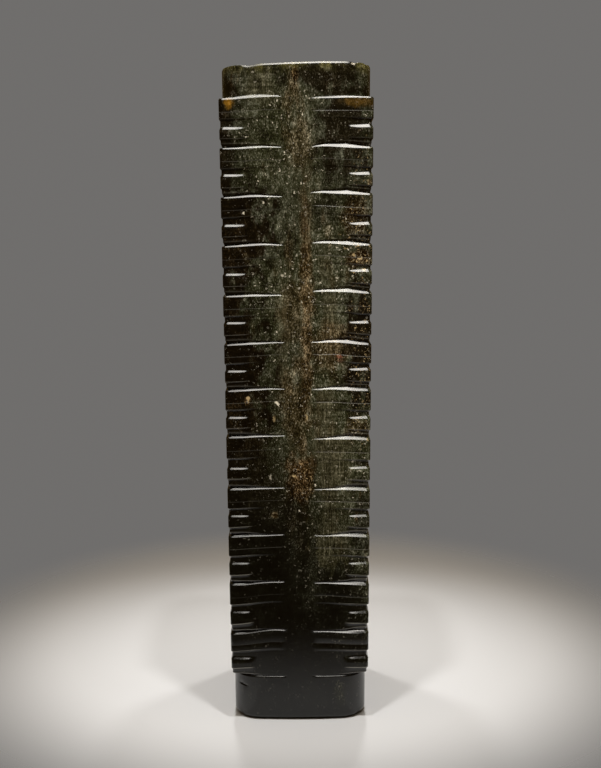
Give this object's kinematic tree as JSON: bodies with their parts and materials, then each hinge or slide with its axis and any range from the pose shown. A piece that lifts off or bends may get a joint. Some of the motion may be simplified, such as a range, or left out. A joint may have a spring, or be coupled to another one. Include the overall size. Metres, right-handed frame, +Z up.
{
  "type": "jade cong",
  "caption": "Tall square jade column with a round bore from end to end, its corners carved in tiers of simplified masks between a collar and a foot; it stands on its flat underside.",
  "frame": {"origin": "centre of the flat underside, on the axis of the bore", "axes": "+Z up along the bore, from the narrow foot to the wider mouth; the pictured face looks along -Y, with +X to its right"},
  "size_m": [0.0774, 0.0774, 0.34],
  "materials": {
    "nephrite": "polished dark green nephrite, mottled, with upright brown and tan flecks and amber thin edges"
  },
  "bodies": {
    "root": {"cong": "nephrite"}
  },
  "joints": []
}
